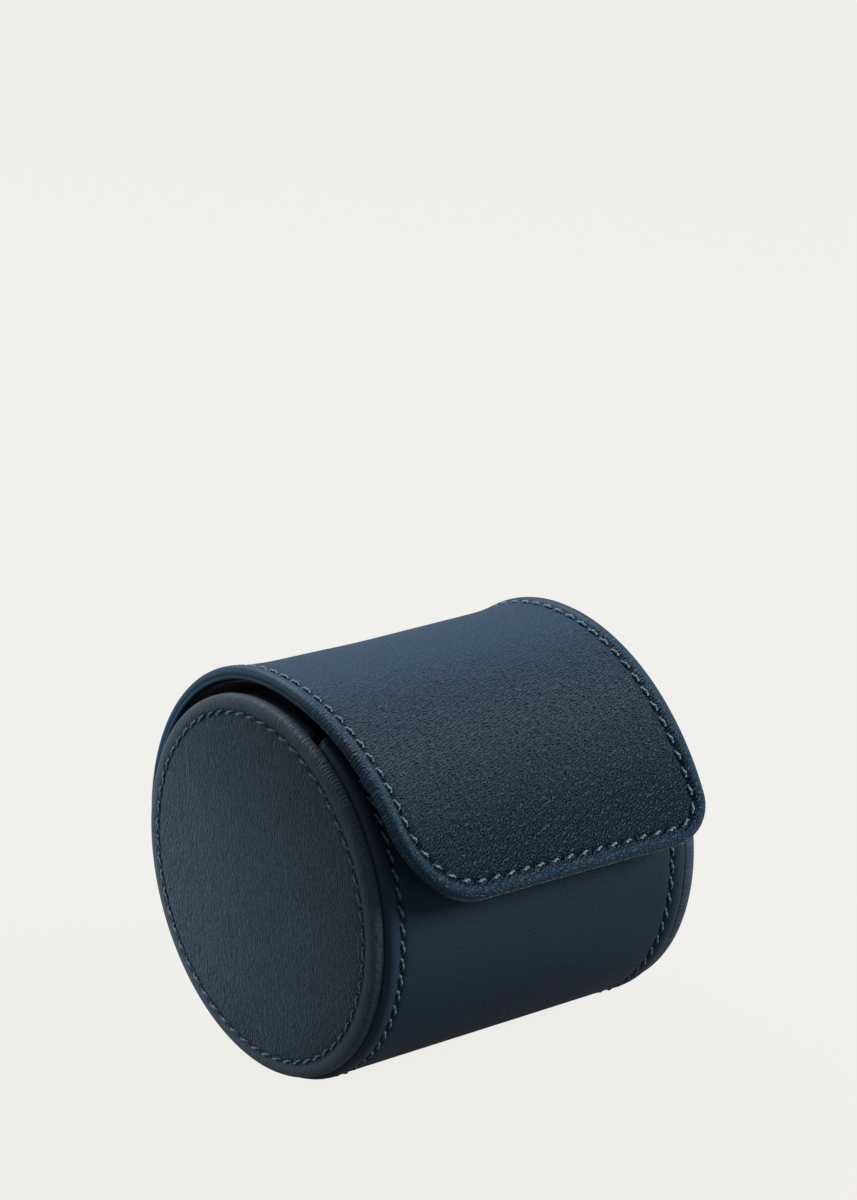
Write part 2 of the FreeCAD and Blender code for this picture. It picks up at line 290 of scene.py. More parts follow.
CUT_SCALE = 10              # the UV map of a cut is in tenths of a metre
BORDER_CLEAR = 0.45         # share of the spacing that a face's points keep from its border
FACE_DEPTH = 0.8 * MM       # deeper points belong to a plate's edge, not its face
PINCH_SPREAD = 1.3 * MM
HOLE_SPREAD = 0.9 * MM
SEAM_SHADE = 0.3             # painted shade along the seam's groove between its holes
BEAD_SPREAD = 1.4 * MM
RAW_SPREAD = 0.9 * MM
RAW_STEP = 0.2 * MM
RAW_LIP = 0.7 * MM          # what the lining shows past the lower edge
RAW_FULL = 0.5 * MM         # it shows fully up to here over the lower edge
RAW_END = 5.0 * MM


def linked(name, data):
    """Object in the scene for a mesh, a lamp or a camera."""
    holder = bpy.data.objects.new(name, data)
    bpy.context.scene.collection.objects.link(holder)
    return holder


def mesh_piece(name, spots, faces, flat=None, marks=None):
    """Mesh object, with its flat cut as a UV map and, as attributes, its rubbed places, which take wear
    and painted sheen, and its pierced places, which take painted shade.
    """
    mesh = bpy.data.meshes.new(name)
    mesh.from_pydata(np.asarray(spots).tolist(), [], faces)
    if flat is not None:
        corners = np.zeros(len(mesh.loops), np.int32)
        mesh.loops.foreach_get("vertex_index", corners)
        cut = mesh.uv_layers.new(name="cut")
        cut.data.foreach_set("uv", (flat[corners] * CUT_SCALE).astype(np.float32).ravel())
    for label, values in (marks or {}).items():
        layer = mesh.attributes.new(label, "FLOAT", "POINT")
        layer.data.foreach_set("value", values.astype(np.float32))
    work = bmesh.new()
    work.from_mesh(mesh)
    bmesh.ops.recalc_face_normals(work, faces=work.faces)
    work.to_mesh(mesh)
    work.free()
    mesh.shade_smooth()
    return linked(name, mesh)


def ring_quads(first, second, count):
    """Faces between two rings of points, from the number of each ring's first point."""
    following = [(j + 1) % count for j in range(count)]
    return [(first + j, first + k, second + k, second + j) for j, k in enumerate(following)]


def filled(border, spacing, fine=None):
    """Points inside a closed border and the triangles that join them to it.
    fine gives a stretch (start, end, step) with closer rows."""
    low, high = border.min(axis=0), border.max(axis=0)
    columns = np.arange(low[0] + spacing / 2, high[0], spacing)
    rows = np.arange(low[1] + spacing / 2, high[1], spacing)
    grid = np.array([(x, s + spacing / 2 * (k % 2)) for k, x in enumerate(columns) for s in rows])
    if fine:
        start, end, step = fine
        grid = grid[(grid[:, 1] < start - step) | (grid[:, 1] > end + step)]
        close = np.array([(x, s) for x in columns for s in np.arange(start, end, step)])
        grid = np.concatenate([grid, close])
    inside = np.zeros(len(grid), bool)
    for a, b in zip(border, np.roll(border, -1, axis=0)):
        crosses = (a[1] > grid[:, 1]) != (b[1] > grid[:, 1])
        if crosses.any():
            reach = a[0] + (grid[:, 1] - a[1]) / (b[1] - a[1]) * (b[0] - a[0])
            inside ^= crosses & (grid[:, 0] < reach)
    grid = grid[inside]
    near = np.array([np.min(np.sum((border - point) ** 2, axis=1)) for point in grid])
    grid = grid[near > (BORDER_CLEAR * spacing) ** 2]
    points = [Vector(point) for point in np.concatenate([border, grid])]
    count = len(border)
    edges = [(k, (k + 1) % count) for k in range(count)]
    out_points, _, faces, _, _, _ = delaunay_2d_cdt(points, edges, [], 1, TINY)
    assert len(out_points) == len(points)
    return grid, [tuple(face) for face in faces]


def plate(name, ring, profile, place, spacing, pinch=0.0, row_inset=None, raw_below=None, fine=None):
    """Closed plate. profile lists (inset, height) from the underside over the edge to the face,
    and place lays flat points with their heights in the roll's frame. A row of stitches at
    row_inset pulls it down by pinch, and below raw_below its lower edge is raw."""
    count = len(ring(0))
    step = 2 * math.pi * np.arange(count) / POINTS_PER_STITCH
    flats, heights, faces = [], [], []
    marks = {"rub_and_sheen": [], "hole": [], "raw": []}
    for inset, height in profile:
        near_row, hole, crest = 0.0, 0.0, 0.0
        if row_inset is not None:
            crest = 1 - smooth(inset, row_inset - BEAD_SPREAD, row_inset - PINCH_SPREAD / 3)
            if height > -FACE_DEPTH:
                near_row = bump(inset, row_inset, PINCH_SPREAD)
                hole = max(0.0, 1 - abs(inset - row_inset) / HOLE_SPREAD)
        flats.append(ring(inset))
        raw = np.zeros(count)
        if raw_below is not None and height < raw_below and inset < RAW_SPREAD:
            lower = flats[-1][:, 1].max() - flats[-1][:, 1]
            raw = 1 - smooth(lower, RAW_FULL, RAW_END)
            if height < raw_below - RAW_STEP:
                flats[-1] = flats[-1] + np.outer(raw, (0, RAW_LIP))
        heights.append(height - pinch * near_row * (0.5 + 0.5 * np.cos(step)))
        # The bead outside the stitch row: rubbed, and given painted sheen in its colour.
        marks["rub_and_sheen"].append(np.full(count, crest))
        # Painted shade: full in the needle holes, weaker along the seam's groove between them.
        marks["hole"].append(hole * (SEAM_SHADE + (1 - SEAM_SHADE) * np.clip(np.cos(step), 0, 1)))
        marks["raw"].append(raw)
    for k in range(len(profile) - 1):
        faces += ring_quads(k * count, (k + 1) * count, count)
    total = count * len(profile)
    for level in (0, len(profile) - 1):
        grid, triangles = filled(ring(profile[level][0]), spacing, fine)
        shift = np.concatenate([level * count + np.arange(count), total + np.arange(len(grid))])
        faces += [tuple(int(shift[corner]) for corner in triangle) for triangle in triangles]
        flats.append(grid)
        heights.append(np.full(len(grid), profile[level][1]))
        for values in marks.values():
            values.append(np.zeros(len(grid)))
        total += len(grid)
    flat = np.concatenate(flats)
    spots = place(flat, np.concatenate(heights))
    return mesh_piece(
        name, spots, faces, flat, {label: np.concatenate(values) for label, values in marks.items()})


# How each sheet lies in the roll's frame

FLAP_LINE = flap_run()
BARREL_LINE = barrel_run()
TOP_ALONG = FLAP_LINE.at_angle(0)
HINGE_ALONG = FLAP_LINE.at_angle(HINGE)
SKYLINE_ALONG = FLAP_LINE.at_angle(SKYLINE)
FLAP_SHIFT = 0.6 * MM       # the flap sits a little to the right
FLAP_DRIFT = 1.1 * MM       # and more so at its lower edge
FLAP_SKEW = 0.022           # which hangs lower on the right
FLAP_DIP = 1.2 * MM         # the face sinks between the stiff sewn edges
DIP_SPREAD = 33.0 * MM
STIFF_LEFT = 9.0 * MM       # reach of each stiff edge
STIFF_RIGHT = 6.5 * MM
STIFF_RIGHT_SHARE = 0.65
LEFT_LIFT = 0.5 * MM        # the left side stays up a little
LEFT_LIFT_REACH = 25.0 * MM
LEFT_FLARE = 2.6 * MM       # and stands off at its lower end
FLARE_START = 0.05          # shares of the way from the top to the tip
FLARE_FULL = 0.9
RIGHT_FLARE = 1.1 * MM
SKIVE_OUT = 0.5 * MM        # a board's thinned edge reaches this far into the hinge
SKIVE_IN = 1.5 * MM         # and this far back from it


def wall_depth(along):
    """Thickness of leather and board along the flap: full in the tail, leather alone at the hinge."""
    tail_end = HINGE_ALONG - HINGE_HALF
    flap_start = HINGE_ALONG + HINGE_HALF
    past_tail = smooth(along, tail_end - SKIVE_IN, tail_end + SKIVE_OUT)
    on_flap_board = smooth(along, flap_start - SKIVE_OUT, flap_start + SKIVE_IN)
    depth = TAIL_THICK + (HINGE_THICK - TAIL_THICK) * past_tail
    return depth + (FLAP_THICK - HINGE_THICK) * on_flap_board


def flap_spots(flat, height):
    """Points of the flap at a height over its outer face, with the set that the leather has taken."""
    x, along = flat[:, 0], flat[:, 1]
    past_top = np.clip((along - TOP_ALONG) / (FLAP_LINE.length - TOP_ALONG), 0, 1)
    stiff = bump(FLAP_HALF + x, 0, STIFF_LEFT) + STIFF_RIGHT_SHARE * bump(FLAP_HALF - x, 0, STIFF_RIGHT)
    sink = FLAP_DIP * (1 - stiff) - LEFT_LIFT * smooth(-x, 0, LEFT_LIFT_REACH)
    dip = sink * bump(along, SKYLINE_ALONG, DIP_SPREAD)
    left = np.clip((FLAP_HALF - x) / (2 * FLAP_HALF), 0, 1) ** 2
    right = np.clip((FLAP_HALF + x) / (2 * FLAP_HALF), 0, 1) ** 6
    flare = LEFT_FLARE * left * smooth(past_top, FLARE_START, FLARE_FULL)
    flare = flare + RIGHT_FLARE * right * past_top ** 3
    shift = FLAP_SHIFT + FLAP_DRIFT * past_top
    lowered = along + FLAP_SKEW * x * past_top
    return FLAP_LINE.place(x + shift, lowered, height - dip + flare)


def on_flap(flat, height):
    """Flap's leather, whose underside follows the boards."""
    half = FLAP_THICK / 2
    stretch = (wall_depth(flat[:, 1]) - half) / half
    below = np.minimum(height + half, 0)
    return flap_spots(flat, np.maximum(height, -half) + below * stretch)


def under_flap(flat, height):
    """Flap's lining, at a height over its glued face."""
    return flap_spots(flat, height - wall_depth(flat[:, 1]) - GLUE)


def on_barrel(flat, height):
    """Barrel's leather, which rests on the floor."""
    spots = BARREL_LINE.place(flat[:, 0], flat[:, 1], height)
    spots[:, 2] = np.maximum(spots[:, 2], 0)
    return spots


def on_end(side):
    """Function that lays a round end's leather. Only the face of the right one stands proud."""
    outer = END_OUTER + (RIGHT_END_PROUD if side > 0 else 0)

    def place(flat, height):
        spread = np.clip(-height / END_THICK, 0, 1)
        reach = outer + height - (outer - END_OUTER) * spread
        return np.stack([side * reach, flat[:, 0], np.maximum(AXIS_HEIGHT + flat[:, 1], 0)], axis=1)

    return place


# Sewn edges, as (inset, height) in millimetres from the underside to the face

def scaled(profile):
    return [(inset * MM, height * MM) for inset, height in profile]


FLAP_EDGE = scaled([
    (1.3, -2.6), (0.6, -2.6), (0.25, -2.52), (0.05, -2.3), (0.0, -2.05), (0.08, -1.85),
    (0.3, -1.72), (0.12, -1.5), (0.0, -1.15), (0.04, -0.75), (0.2, -0.36), (0.5, -0.06),
    (0.95, 0.2), (1.45, 0.32), (2.0, 0.32), (2.5, 0.2), (2.9, 0.0), (3.25, -0.24),
    (3.52, -0.42), (3.7, -0.46), (3.9, -0.42), (4.2, -0.28), (4.6, -0.13), (5.2, -0.04), (6.2, 0.0)])
BARREL_EDGE = scaled([
    (1.5, -2.5), (0.5, -2.5), (0.15, -2.4), (0.0, -2.1), (0.0, -1.4), (0.06, -0.9), (0.25, -0.45),
    (0.6, -0.12), (1.1, 0.06), (1.7, 0.12), (2.4, 0.1), (3.0, 0.0), (3.4, -0.14), (3.75, -0.28),
    (4.0, -0.32), (4.25, -0.29), (4.6, -0.15), (5.0, -0.04), (5.3, 0.0)])
END_EDGE = scaled([
    (2.0, -3.0), (0.5, -3.0), (0.12, -2.9), (0.0, -2.6), (0.0, -2.0), (0.03, -1.5), (0.16, -1.0),
    (0.42, -0.55), (0.8, -0.22), (1.3, -0.03), (1.9, 0.04), (2.5, 0.02), (3.0, -0.08), (3.4, -0.22),
    (3.65, -0.3), (3.8, -0.32), (4.0, -0.3), (4.3, -0.2), (4.8, -0.08), (5.6, 0.0), (8.0, 0.05)])
LINING_EDGE = scaled([
    (0.8, -0.7), (0.25, -0.66), (0.0, -0.5), (0.0, -0.2), (0.2, -0.04), (0.8, 0.0)])
BOARD_EDGE = scaled([
    (0.6, -2.5), (0.1, -2.45), (0.0, -2.3), (0.0, -1.4), (0.1, -1.25), (0.6, -1.2)])

FLAP_RAW_HEIGHT = -1.6 * MM
HINGE_ROWS = (HINGE_ALONG - 6 * MM, HINGE_ALONG + 6 * MM, HINGE_STEP)


# Flap, with its boards, magnets and lining

def flap_cover_piece():
    corners = (TAIL_CORNER, FLAP_CORNER_RIGHT, FLAP_CORNER_LEFT, TAIL_CORNER)
    ring = rounded_outline(FLAP_HALF, 0, FLAP_LINE.length, corners, FLAP_MARGIN)
    piece = plate(
        "flap_cover", ring, FLAP_EDGE, on_flap, LEATHER_STEP, pinch=FLAP_PINCH, row_inset=FLAP_MARGIN,
        raw_below=FLAP_RAW_HEIGHT, fine=HINGE_ROWS)
    return piece, ring


def board_piece(name, half_width, start, end, corners, place):
    """Stiffening board, inside the turned edge of its leather."""
    ring = rounded_outline(half_width - LEATHER, start, end, corners, BOARD_MARGIN)
    return plate(name, ring, BOARD_EDGE, place, BOARD_STEP)


def flap_stiffener_piece():
    corners = (BOARD_CORNER, FLAP_CORNER_RIGHT - LEATHER, FLAP_CORNER_LEFT - LEATHER, BOARD_CORNER)
    start = HINGE_ALONG + HINGE_HALF + BOARD_CLEAR
    end = FLAP_LINE.length - LEATHER
    return board_piece("flap_stiffener", FLAP_HALF, start, end, corners, flap_spots)


def tail_stiffener_piece():
    corners = (TAIL_CORNER - LEATHER, BOARD_CORNER, BOARD_CORNER, TAIL_CORNER - LEATHER)
    end = HINGE_ALONG - HINGE_HALF - BOARD_CLEAR
    return board_piece("tail_stiffener", FLAP_HALF, LEATHER, end, corners, flap_spots)


def flap_magnet_piece(name, side):
    """Thin disc magnet let into the flap's board."""
    def place(flat, height):
        middle = np.array([side * MAGNET_OFFSET, FLAP_LINE.length - MAGNET_SETBACK])
        return flap_spots(flat + middle, height)

    return plate(name, round_outline(MAGNET_RADIUS, BOARD_MARGIN), BOARD_EDGE, place, MAGNET_STEP)


def flap_lining_piece():
    """Suede under the flap, from the hinge to the tip."""
    start = HINGE_ALONG - HINGE_HALF + HINGE_LINING_SETBACK
    end = FLAP_LINE.length - LINING_SETBACK
    corners = (
        LINING_CORNER, FLAP_CORNER_RIGHT - LINING_SETBACK, FLAP_CORNER_LEFT - LINING_SETBACK,
        LINING_CORNER)
    half = FLAP_HALF - LINING_SETBACK
    ring = rounded_outline(half, start, end, corners, LINING_MARGIN)
    piece = plate("flap_lining_suede", ring, LINING_EDGE, under_flap, LINING_STEP, fine=HINGE_ROWS)
    return piece


# Barrel and its round ends

END_LINING_BORE = 40.3 * MM
END_LINING_RIM = 41.8 * MM  # radius where the mouth is open
END_LINING_BASE = 3.4 * MM  # height of its flat lower edge
HEM_RINGS = 90
HEM_POINTS = 14
HEM_RADIUS = 41.75 * MM
HEM_PLACE = 39.45 * MM      # of a hem's middle, from the roll's middle
HEM_HALF_WIDTH = 1.25 * MM
HEM_HALF_THICK = 0.42 * MM
HEM_SQUARENESS = 0.6        # exponent of a hem's squared oval section
HEM_WAVE = 0.05 * MM
HEM_END_SHARE = 0.35        # thickness left at a hem's ends, and its growth with each ring
HEM_END_GROWTH = 0.3
HEM_BACK_GAP = 3.0          # degrees from a lip to the hem's end
HEM_FRONT_GAP = 2.2


def barrel_cover_piece():
    ring = rounded_outline(BARREL_HALF, 0, BARREL_LINE.length, (BARREL_CORNER,) * 4, BARREL_MARGIN)
    piece = plate(
        "barrel_cover", ring, BARREL_EDGE, on_barrel, LEATHER_STEP, pinch=SIDE_PINCH,
        row_inset=BARREL_MARGIN)
    return piece, ring


def barrel_stiffener_piece():
    """Board that keeps the barrel round."""
    def place(flat, height):
        return BARREL_LINE.place(flat[:, 0], flat[:, 1], height + GLUE)

    corners = (BARREL_BOARD_CORNER,) * 4
    end = BARREL_LINE.length - LEATHER
    return board_piece("barrel_stiffener", BARREL_HALF, LEATHER, end, corners, place)


def barrel_lining_piece():
    """Suede round the inside of the barrel."""
    depth = BARREL_THICK + GLUE

    def place(flat, height):
        return BARREL_LINE.place(flat[:, 0], flat[:, 1], height - depth)

    half = BARREL_HALF - LINING_SETBACK
    start, end = BARREL_LINING_SETBACK, BARREL_LINE.length - BARREL_LINING_SETBACK
    ring = rounded_outline(half, start, end, (LINING_CORNER,) * 4, LINING_MARGIN)
    piece = plate("barrel_lining_suede", ring, LINING_EDGE, place, LINING_STEP)
    return piece


def end_cover_piece(name, side):
    ring = round_outline(END_RADIUS + (RIGHT_END_PROUD / 2 if side > 0 else 0), END_MARGIN)
    piece = plate(
        name, ring, END_EDGE, on_end(side), END_STEP, pinch=SIDE_PINCH, row_inset=END_MARGIN)
    return piece, ring


def end_lining_piece(name, side):
    """Suede disc on the inside of an end, wider where the mouth is open."""
    def place(flat, height):
        return on_end(side)(flat, height - END_THICK - GLUE)

    ring = mouth_outline(END_LINING_BORE, END_LINING_RIM, END_LINING_BASE - AXIS_HEIGHT)
    piece = plate(name, ring, LINING_EDGE, place, LINING_STEP)
    return piece


def mouth_hem_piece(name, side):
    """Narrow turned strip of leather that joins an end to the lining along the open mouth."""
    angles = np.linspace(BACK_LIP + HEM_BACK_GAP, FRONT_LIP - HEM_FRONT_GAP, HEM_RINGS)
    around = full_turn(HEM_POINTS)
    across = HEM_PLACE + HEM_HALF_WIDTH * signed_power(np.cos(around), HEM_SQUARENESS)
    lift = HEM_HALF_THICK * signed_power(np.sin(around), HEM_SQUARENESS)
    spots, flat, faces = [], [], []
    for k, angle in enumerate(angles):
        from_end = min(k, HEM_RINGS - 1 - k)
        thinned = min(1.0, HEM_END_SHARE + HEM_END_GROWTH * from_end)
        middle = HEM_RADIUS + HEM_WAVE * (math.sin(k * 0.9) + math.sin(k * 0.37 + side))
        spots.append(np.column_stack([side * across, spot(middle + lift * thinned, angle)]))
        flat.append(np.column_stack([across, middle * math.radians(angle) + lift]))
        if k:
            faces += ring_quads((k - 1) * HEM_POINTS, k * HEM_POINTS, HEM_POINTS)
    last = (HEM_RINGS - 1) * HEM_POINTS
    faces += [tuple(range(HEM_POINTS)), tuple(range(last, last + HEM_POINTS))]
    return mesh_piece(name, np.concatenate(spots), faces, np.concatenate(flat))


# Watch cushion

CUSHION_HALF = CUSHION_HIGH.x
CUSHION_CENTRE = (CUSHION_LOW.z + CUSHION_HIGH.z) / 2
CUSHION_SIDE = CUSHION_HIGH.y
CUSHION_RISE = (CUSHION_HIGH.z - CUSHION_LOW.z) / 2
CUSHION_CLEAR = 0.2 * MM    # kept inside the cushion's ends and over its underside
OVAL = 1.87                 # exponent of the cushion's oval section
SLEEVE_HALF = CUSHION_HALF - 1.6 * MM
SLEEVE_POINTS = 72
SLEEVE_RINGS = 37
SLEEVE_SLACK = 0.9 * MM     # the empty sleeve is this much under full size
SEAM_INSET = 5.4 * MM
GATHER_REACH = 15.0 * MM    # from an end to where the sleeve starts to draw in
HELD_REACH = 3.4 * MM       # from an end to the last held point
HELD_SHARE = 0.72           # held points lie past this share of the section
SLEEVE_SHARE = 0.7          # and the sleeve past this one
FILL_FRAMES = 20
MOST_SWELL = 3.0 * MM
PUCKER = 0.3 * MM
PUCKER_PLACE = 3.0 * MM     # from the seam to the deepest puckers
PUCKER_SPREAD = 4.0 * MM
PUCKER_FOLDS = 31           # round each end, crossed by fewer and weaker ones
WEAK_FOLDS = 19
WEAK_SHARE = 0.6
PIPING_RINGS = 120
PIPING_POINTS = 8
PIPING_RADIUS = 0.85 * MM
PIPING_PLACE = CUSHION_HALF - 1.7 * MM
PIPING_INSET = SEAM_INSET - 0.4 * MM


def oval(turn, inset):
    """Points (y, z) of the cushion's section, drawn in by an inset."""
    return np.stack([
        (CUSHION_SIDE - inset) * signed_power(np.cos(turn), 2 / OVAL),
        CUSHION_CENTRE + (CUSHION_RISE - inset) * signed_power(np.sin(turn), 2 / OVAL)], axis=-1)


def section_shares(spots):
    """Each point's place in the cushion's section, as shares of its half width and half height."""
    return spots[:, 1] / CUSHION_SIDE, (spots[:, 2] - CUSHION_CENTRE) / CUSHION_RISE


def slack_cushion():
    """Cushion before it is filled: a sleeve drawn in at its sewn ends, which a fan of faces closes."""
    turn = full_turn(SLEEVE_POINTS)
    spots, faces = [], []
    for k, x in enumerate(np.linspace(-1, 1, SLEEVE_RINGS) * SLEEVE_HALF):
        gather = smooth(np.abs(x), CUSHION_HALF - GATHER_REACH, CUSHION_HALF) ** 1.3
        inset = SLEEVE_SLACK + (SEAM_INSET - SLEEVE_SLACK) * gather
        spots.append(np.column_stack([np.full(SLEEVE_POINTS, x), oval(turn, inset)]))
        if k:
            faces += ring_quads((k - 1) * SLEEVE_POINTS, k * SLEEVE_POINTS, SLEEVE_POINTS)
    spots.append([[-SLEEVE_HALF, 0, CUSHION_CENTRE], [SLEEVE_HALF, 0, CUSHION_CENTRE]])
    left_middle = SLEEVE_RINGS * SLEEVE_POINTS
    last_ring = left_middle - SLEEVE_POINTS
    for j in range(SLEEVE_POINTS):
        following = (j + 1) % SLEEVE_POINTS
        faces.append((left_middle, following, j))
        faces.append((left_middle + 1, last_ring + j, last_ring + following))
    return mesh_piece("cushion_sleeve", np.concatenate(spots), faces)


def applied(piece):
    """Replaces a piece's mesh by what its modifiers make of it."""
    seen = piece.evaluated_get(bpy.context.evaluated_depsgraph_get())
    mesh = bpy.data.meshes.new_from_object(seen)
    piece.modifiers.clear()
    old = piece.data
    piece.data = mesh
    bpy.data.meshes.remove(old)


def coordinates(mesh):
    spots = np.zeros(len(mesh.vertices) * 3)
    mesh.vertices.foreach_get("co", spots)
    return spots.reshape(-1, 3)


def blown_up(piece):
    """Fills the sewn cushion by air pressure, with its end seams held and its swell limited."""
    remesh = piece.modifiers.new("even", "REMESH")
    remesh.mode = "VOXEL"
    remesh.voxel_size = 2.4 * MM
    applied(piece)
    before = coordinates(piece.data)
    near_end = np.abs(before[:, 0]) > CUSHION_HALF - HELD_REACH
    seam = near_end & (np.hypot(*section_shares(before)) > HELD_SHARE)
    held = piece.vertex_groups.new(name="seam")
    held.add([int(k) for k in np.flatnonzero(seam)], 1.0, "REPLACE")
    cloth = piece.modifiers.new("filling", "CLOTH")
    cloth.settings.use_pressure = True
    cloth.settings.uniform_pressure_force = 4.0
    cloth.settings.vertex_group_mass = "seam"
    cloth.settings.shrink_min = -0.05
    cloth.settings.effector_weights.gravity = 0.0
    scene = bpy.context.scene
    for number in range(1, FILL_FRAMES + 1):
        scene.frame_set(number)
    applied(piece)
    scene.frame_set(1)
    move = coordinates(piece.data) - before
    reach = np.linalg.norm(move, axis=1, keepdims=True)
    after = before + move * np.minimum(1, MOST_SWELL / np.maximum(reach, TINY))
    piece.data.vertices.foreach_set("co", after.ravel())
    piece.vertex_groups.clear()


def cushion_piece():
    """Filled cushion, puckered along its end seams and kept inside the room that it has."""
    piece = slack_cushion()
    blown_up(piece)
    finer = piece.modifiers.new("finer", "SUBSURF")
    finer.levels = 1
    finer.render_levels = 1
    applied(piece)
    spots = coordinates(piece.data)
    turn = np.arctan2(spots[:, 2] - CUSHION_CENTRE, spots[:, 1])
    from_seam = SLEEVE_HALF - np.abs(spots[:, 0])
    weak = WEAK_SHARE * np.sin(WEAK_FOLDS * turn + 1.3 * np.sign(spots[:, 0]))
    folds = np.sin(PUCKER_FOLDS * turn) + weak
    pucker = PUCKER * bump(from_seam, PUCKER_PLACE, PUCKER_SPREAD) * folds
    on_sleeve = np.hypot(*section_shares(spots)) > SLEEVE_SHARE
    outwards = np.column_stack([np.zeros(len(spots)), np.cos(turn), np.sin(turn)])
    spots += outwards * (pucker * on_sleeve)[:, None]
    across, up = section_shares(spots)
    size = (np.abs(across) ** OVAL + np.abs(up) ** OVAL) ** (1 / OVAL)
    spots[:, 1] /= np.maximum(size, 1)
    spots[:, 2] = CUSHION_CENTRE + (spots[:, 2] - CUSHION_CENTRE) / np.maximum(size, 1)
    spots[:, 2] = np.maximum(spots[:, 2], CUSHION_LOW.z + CUSHION_CLEAR)
    spots[:, 0] = np.clip(spots[:, 0], CUSHION_CLEAR - CUSHION_HALF, CUSHION_HALF - CUSHION_CLEAR)
    piece.data.vertices.foreach_set("co", spots.ravel())
    piece.data.shade_smooth()
    return piece


def cushion_piping_piece():
    """Corded seams round the cushion's two ends."""
    turn = full_turn(PIPING_RINGS)
    around = full_turn(PIPING_POINTS)
    middle = oval(turn, PIPING_INSET)
    outer = oval(turn, PIPING_INSET - MM) - middle
    outer /= np.linalg.norm(outer, axis=1, keepdims=True)
    spots, faces = [], []
    for side in SIDES.values():
        start = len(spots)
        for k in range(PIPING_RINGS):
            cord = PIPING_RADIUS * (1 + 0.06 * math.sin(k * 1.7))
            for share in around:
                yz = middle[k] + outer[k] * cord * math.sin(share)
                spots.append((side * PIPING_PLACE + cord * math.cos(share), yz[0], yz[1]))
            following = (k + 1) % PIPING_RINGS
            faces += ring_quads(
                start + k * PIPING_POINTS, start + following * PIPING_POINTS, PIPING_POINTS)
    return mesh_piece("cushion_piping", np.array(spots), faces)


# Node writing

class Wire:
    """Value on its way through a node tree. Arithmetic on it adds Math nodes."""

    def __init__(self, writer, socket):
        self.writer = writer
        self.socket = socket

    def __add__(self, other):
        return self.writer.math("ADD", self, other)

    def __sub__(self, other):
        return self.writer.math("SUBTRACT", self, other)

    def __rsub__(self, other):
        return self.writer.math("SUBTRACT", other, self)

    def __mul__(self, other):
        return self.writer.math("MULTIPLY", self, other)

    __radd__ = __add__
    __rmul__ = __mul__


class NodeWriter:
    """Node tree that is being written."""

    def __init__(self, tree):
        self.nodes = tree.nodes
        self.links = tree.links
        self.nodes.clear()

    def node(self, kind, settings=None, output=0, **sockets):
        """Any node: its settings first, then the values or links of its sockets by name or number."""
        made = self.nodes.new(kind)
        for key, value in (settings or {}).items():
            setattr(made, key, value)
        for key, value in sockets.items():
            socket = made.inputs[int(key[1:]) if key[1:].isdigit() else key.replace("_", " ")]
            if isinstance(value, Wire):
                self.links.new(value.socket, socket)
            else:
                socket.default_value = value
        return Wire(self, made.outputs[output])

    def math(self, operation, first, second):
        return self.node("ShaderNodeMath", {"operation": operation}, i0=first, i1=second)

    def end(self, kind, result):
        """Output of the tree, which takes its result."""
        self.links.new(result.socket, self.nodes.new(kind).inputs[0])


class Finish(NodeWriter):
    """Material that is being written."""

    def __init__(self, name):
        self.material = bpy.data.materials.new(name)
        self.material.use_nodes = True
        super().__init__(self.material.node_tree)

    def place(self):
        """Object coordinates of the piece."""
        return self.node("ShaderNodeTexCoord", None, "Object")

    def noise(self, place, scale, detail):
        return self.node("ShaderNodeTexNoise", Vector=place, Scale=scale, Detail=detail)

    def flat_noise(self, place, scale, detail, output=0):
        """Noise over the flat cut of a piece."""
        return self.node(
            "ShaderNodeTexNoise", {"noise_dimensions": "2D"}, output, Vector=place, Scale=scale,
            Detail=detail)

    def mark(self, label):
        """Attribute of the piece."""
        return self.node("ShaderNodeAttribute", {"attribute_name": label}, 2)

    def mix(self, share, first, second):
        """Colour between two colours."""
        return self.node("ShaderNodeMix", {"data_type": "RGBA"}, 2, i0=share, i6=first, i7=second)

    def clamp(self, value, low, high):
        """Share from 0 to 1 of a value between two limits."""
        return self.node("ShaderNodeMapRange", Value=value, From_Min=low, From_Max=high)

    def surface(self, **sockets):
        return self.node("ShaderNodeBsdfPrincipled", **sockets)

    def done(self, shader):
        self.end("ShaderNodeOutputMaterial", shader)
        return self.material


def colour(red, green, blue):
    """Linear colour of an sRGB one given in 0 to 255."""
    def linear(value):
        share = value / 255
        return share / 12.92 if share <= 0.04045 else ((share + 0.055) / 1.055) ** 2.4

    return (linear(red), linear(green), linear(blue), 1.0)


# Leather, thread, suede, board and metal

BAND_SCALE = math.tau / 20  # makes one ripple of the wave texture one unit wide
CREASE_SWAY = 0.011
RIPPLE_SHARE = 0.75         # what ripples and finer grain add to the creases
FINE_SHARE = 0.4
TAUT_SHARE = 0.12           # what is left of the creases where the leather is stretched
RUBBED_FLAT = 0.7           # and what a rubbed bead loses of them
# Rubbed beads are paler: partly wear, partly painted sheen.
RUBBED_SHEEN_SHARE = 0.15
RUBBED_SHEEN_GAIN = 1.3
PATCH_SHARE = 0.2
TONE_REACH = 0.4            # crease height at which the painted crease shade is deepest or the painted ridge highlight palest
LEATHER_ROUGHNESS = 0.56
# Painted shade: tint of the darkened creases.
CREASE_SHADE_TINT = (0.7, 0.95, 1.2)
# Painted sheen: grey added on the ridges and rubbed beads in place of specular highlights.
PAINTED_SHEEN = 0.008
# Painted shade in the needle holes and the seam's groove.
NEEDLE_HOLE_SHADE = colour(4, 6, 9)
RAW_EDGE = colour(86, 96, 102)
METAL_SMEAR = colour(120, 120, 122)


